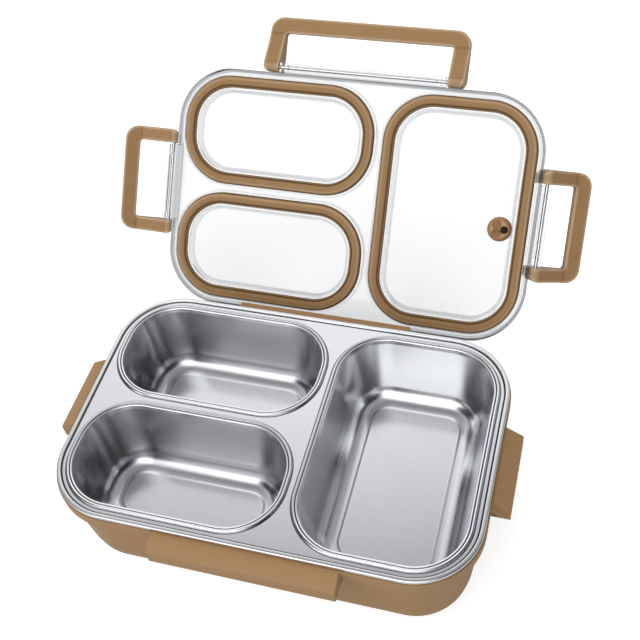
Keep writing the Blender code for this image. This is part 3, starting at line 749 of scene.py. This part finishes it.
# ------------------------------------------------------------------ rear yoke
def yoke():
    inner, outer = FRONT[1] + 1.7, FRONT[0] + 0.2
    ry, rz = LY + PIVOT_OUT, PIVOT_Z
    fi, fo, top = 76.3, 81.8, 7.0
    hy, hz = HINGE
    side = [*arc(hy, hz, 3.8, 180, 360, 16), (fo + 0.5, hz + 6), (fo, hz + 9), (fo, top - 1.4), (fo - 1.4, top), (ry, rz + 3.0), *arc(ry, rz, 3.0, 90, 270, 14)[1:], (fi - 1.0, rz - 3.0), (fi, rz - 4.0), (fi, hz + 9), (hy - 3.4, hz + 6)]
    spine = prism([(fi, -1.2), (fo, -1.2), (fo, top - 1.4), (fo - 1.4, top), (fi, top)], "X", -inner - 2, inner + 2)
    tools = [(prism(side, "X", low, high), "UNION") for low, high in ((inner, outer), (-outer, -inner))]
    rib = [(fo - 0.9, 0.2), (fo + 1.0, 0.2), (fo + 1.0, 4.6), (fo - 0.9, 4.6)]
    tools.append((prism(rib, "X", -inner + 6, inner - 6), "DIFFERENCE"))
    voxel = 0.45
    return place_mesh("rear_yoke", sculpt(spine, tools, voxel, 4), LID, "lid", LATCH_MAT, ["rear_clip"], sharp=180.0, weighted=False)


# ------------------------------------------------------------------ camera and stage
LENS_MM = 55.749


def camera():
    data = bpy.data.cameras.new("view")
    data.sensor_width = 36.0
    data.lens = LENS_MM
    data.clip_start, data.clip_end = 0.02, 20.0
    eye = bpy.data.objects.new("view", data)
    bpy.context.scene.collection.objects.link(eye)
    v = Vector((2.438587713540477, 0.28514011572843434, -0.2286849092268456))
    turn = Matrix.Rotation(v.length, 3, v)
    t = Vector((-18.301720247950676, 53.73267901225065, 512.109186273023)) * MM
    at = -(turn.transposed() @ t) + Vector((0, 0, TABLE_TO_RIM * MM))
    look = turn.transposed() @ Matrix.Diagonal((1, -1, -1))
    eye.matrix_world = Matrix.Translation(at) @ look.to_4x4()
    bpy.context.scene.camera = eye
    return eye


def floor():
    bm = bmesh.new()
    reach = 4.0
    bmesh.ops.create_grid(bm, x_segments=16, y_segments=16, size=reach)
    mesh = bpy.data.meshes.new("floor")
    bm.to_mesh(mesh)
    bm.free()
    obj = bpy.data.objects.new("floor", mesh)
    obj.location.z = -0.0004
    bpy.context.scene.collection.objects.link(obj)
    mat, tree, principled, _ = shader("floor_paper")
    place = tree.nodes.new("ShaderNodeTexCoord").outputs["Object"]
    fibre = noise(tree, place, 300.0, 3.0)
    tree.links.new(mix_colour(tree, spread(tree, fibre, 0.0, 1.0), (0.60, 0.60, 0.60), (0.62, 0.62, 0.62)), principled.inputs["Base Color"])
    principled.inputs["Emission Color"].default_value = (1.0, 1.0, 1.0, 1.0)
    rays = tree.nodes.new("ShaderNodeLightPath").outputs
    seen = tree.nodes.new("ShaderNodeMath")
    seen.operation = "MAXIMUM"
    tree.links.new(rays["Is Camera Ray"], seen.inputs[0])
    tree.links.new(spread(tree, rays["Is Transmission Ray"], 0.0, 0.54, 0.0, 1.0), seen.inputs[1])
    tree.links.new(spread(tree, seen.outputs["Value"], 0.16, 0.68, 0.0, 1.0), principled.inputs["Emission Strength"])
    principled.inputs["Roughness"].default_value = 0.9
    principled.inputs["Specular IOR Level"].default_value = 0.1
    mesh.materials.append(mat)


def softbox(name, at, aim, width, height, watts, mirrored=False):
    data = bpy.data.lights.new(name, "AREA")
    data.shape, data.size, data.size_y = "RECTANGLE", width, height
    data.energy = watts
    lamp = bpy.data.objects.new(name, data)
    lamp.location = at
    lamp.rotation_euler = (Vector(aim) - Vector(at)).to_track_quat("-Z", "Y").to_euler()
    lamp.visible_glossy = mirrored
    bpy.context.scene.collection.objects.link(lamp)
    return lamp


def world():
    """Even studio white, with darker room to the back right that gives polished metal something to mirror."""
    made = bpy.data.worlds.new("studio")
    bpy.context.scene.world = made
    made.use_nodes = True
    tree = made.node_tree
    back = tree.nodes["Background"]
    way = tree.nodes.new("ShaderNodeTexCoord").outputs["Generated"]

    def patch(direction, inner, outer):
        return facing_way(tree, way, direction, math.cos(math.radians(outer)), math.cos(math.radians(inner)))

    colour = (0.66, 0.66, 0.675)
    for direction, inner, outer, value in (
        ((-0.02, 0.12, 1.00), 12, 36, 0.30),
        ((-0.25, 0.80, 0.57), 14, 36, 1.12),
        ((0.62, 0.55, 0.56), 14, 36, 0.36),
        ((-0.22, -0.83, 0.52), 26, 48, 2.2),
        ((-0.93, -0.06, 0.38), 16, 32, 0.04),
        ((-0.64, -0.38, 0.66), 10, 24, 0.0),
        ((0.86, 0.12, 0.50), 14, 30, 0.02),
        ((0.84, -0.30, 0.46), 26, 42, 0.0),
    ):
        colour = mix_colour(tree, patch(direction, inner, outer), colour, (value * 0.99, value * 0.993, value * 1.01))
    rays = tree.nodes.new("ShaderNodeLightPath").outputs
    lit = mix_colour(tree, patch((-0.35, -0.50, 0.79), 8, 112), (0.20, 0.20, 0.21), (0.92, 0.92, 0.91))
    colour = mix_colour(tree, rays["Is Diffuse Ray"], colour, lit)
    colour = mix_colour(tree, rays["Is Camera Ray"], colour, (1.0, 1.0, 1.0))
    tree.links.new(colour, back.inputs["Color"])
    back.inputs["Strength"].default_value = 1.0


camera()
floor()
world()
softbox("key", (-0.9, -0.7, 1.4), (0, 0, 0.05), 0.8, 0.8, 7)
softbox("fill", (1.1, -1.2, 0.8), (0, 0, 0.05), 1.0, 1.0, 1)
softbox("top", (0.0, 0.3, 1.9), (0, 0, 0.0), 1.4, 1.4, 3)

tray()
base()
lid()
for name in CELLS:
    seal(name)
vent()
for key, (half, window), edge, about in (("front", FRONT, LY, 0.0), ("right", SIDE, LX, math.pi / 2), ("left", SIDE, LX, -math.pi / 2)):
    latch(key, half, window, edge, about)
yoke()
wire("wire_rear", 1.1, FRONT[0] - 1.3, LID @ Matrix.Translation((0, LY + PIVOT_OUT, PIVOT_Z)), "lid", "rod_rear")
wire("pin_rear", 1.5, 58.0, BASE @ Matrix.Translation((0, HINGE[0], HINGE[1])), "base", "hinge_pin")

view = bpy.context.scene.view_settings
view.view_transform = "Standard"
view.look = "None"
view.exposure, view.gamma = 0.0, 1.0
